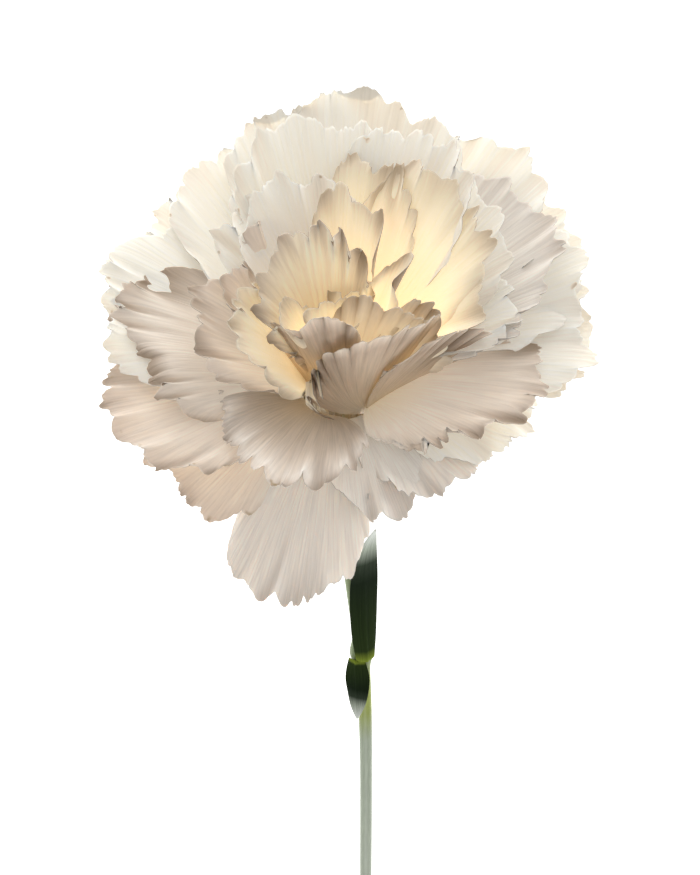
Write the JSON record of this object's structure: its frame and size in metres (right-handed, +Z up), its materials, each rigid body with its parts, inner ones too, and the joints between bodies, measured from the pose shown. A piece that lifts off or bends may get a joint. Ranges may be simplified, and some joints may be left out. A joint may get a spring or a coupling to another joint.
{
  "type": "cut carnation",
  "caption": "Cut stem of a fully double white carnation lying down: ruffled head on a bent neck, with calyx, bracts and one leaf pair.",
  "frame": {"origin": "on the table, under the centre of the whole flower's bounding box", "axes": "+Z up from the table, +Y along the lying stem towards the head, +X to the right of the head as it faces along +Y"},
  "size_m": [0.0749, 0.1828, 0.0562],
  "materials": {
    "petal": "matte, translucent cream white",
    "stem": "satin, waxy pale green",
    "calyx": "satin, waxy green",
    "bract": "satin, pale green",
    "leaf": "satin, dark grey-green",
    "ovary": "satin, yellow-green",
    "style": "matte white"
  },
  "bodies": {
    "root": {"stem": "stem", "calyx": "calyx", "bract_1": "bract", "bract_2": "bract", "bract_3": "bract", "bract_4": "bract", "leaf_ascending": "leaf", "leaf_reflexed": "leaf", "ovary": "ovary", "style_left": "style", "style_right": "style", "outer_petal_01": "petal", "outer_petal_02": "petal", "outer_petal_03": "petal", "outer_petal_04": "petal", "outer_petal_05": "petal", "outer_petal_06": "petal", "outer_petal_07": "petal", "outer_petal_08": "petal", "outer_petal_09": "petal", "outer_petal_10": "petal", "outer_petal_11": "petal", "outer_petal_12": "petal", "outer_petal_13": "petal", "outer_petal_14": "petal", "outer_petal_15": "petal", "middle_petal_01": "petal", "middle_petal_02": "petal", "middle_petal_03": "petal", "middle_petal_04": "petal", "middle_petal_05": "petal", "middle_petal_06": "petal", "middle_petal_07": "petal", "middle_petal_08": "petal", "middle_petal_09": "petal", "middle_petal_10": "petal", "middle_petal_11": "petal", "middle_petal_12": "petal", "middle_petal_13": "petal", "middle_petal_14": "petal", "middle_petal_15": "petal", "middle_petal_16": "petal", "middle_petal_17": "petal", "inner_petal_01": "petal", "inner_petal_02": "petal", "inner_petal_03": "petal", "inner_petal_04": "petal", "inner_petal_05": "petal", "inner_petal_06": "petal", "inner_petal_07": "petal", "inner_petal_08": "petal", "inner_petal_09": "petal", "inner_petal_10": "petal", "inner_petal_11": "petal"}
  },
  "joints": []
}
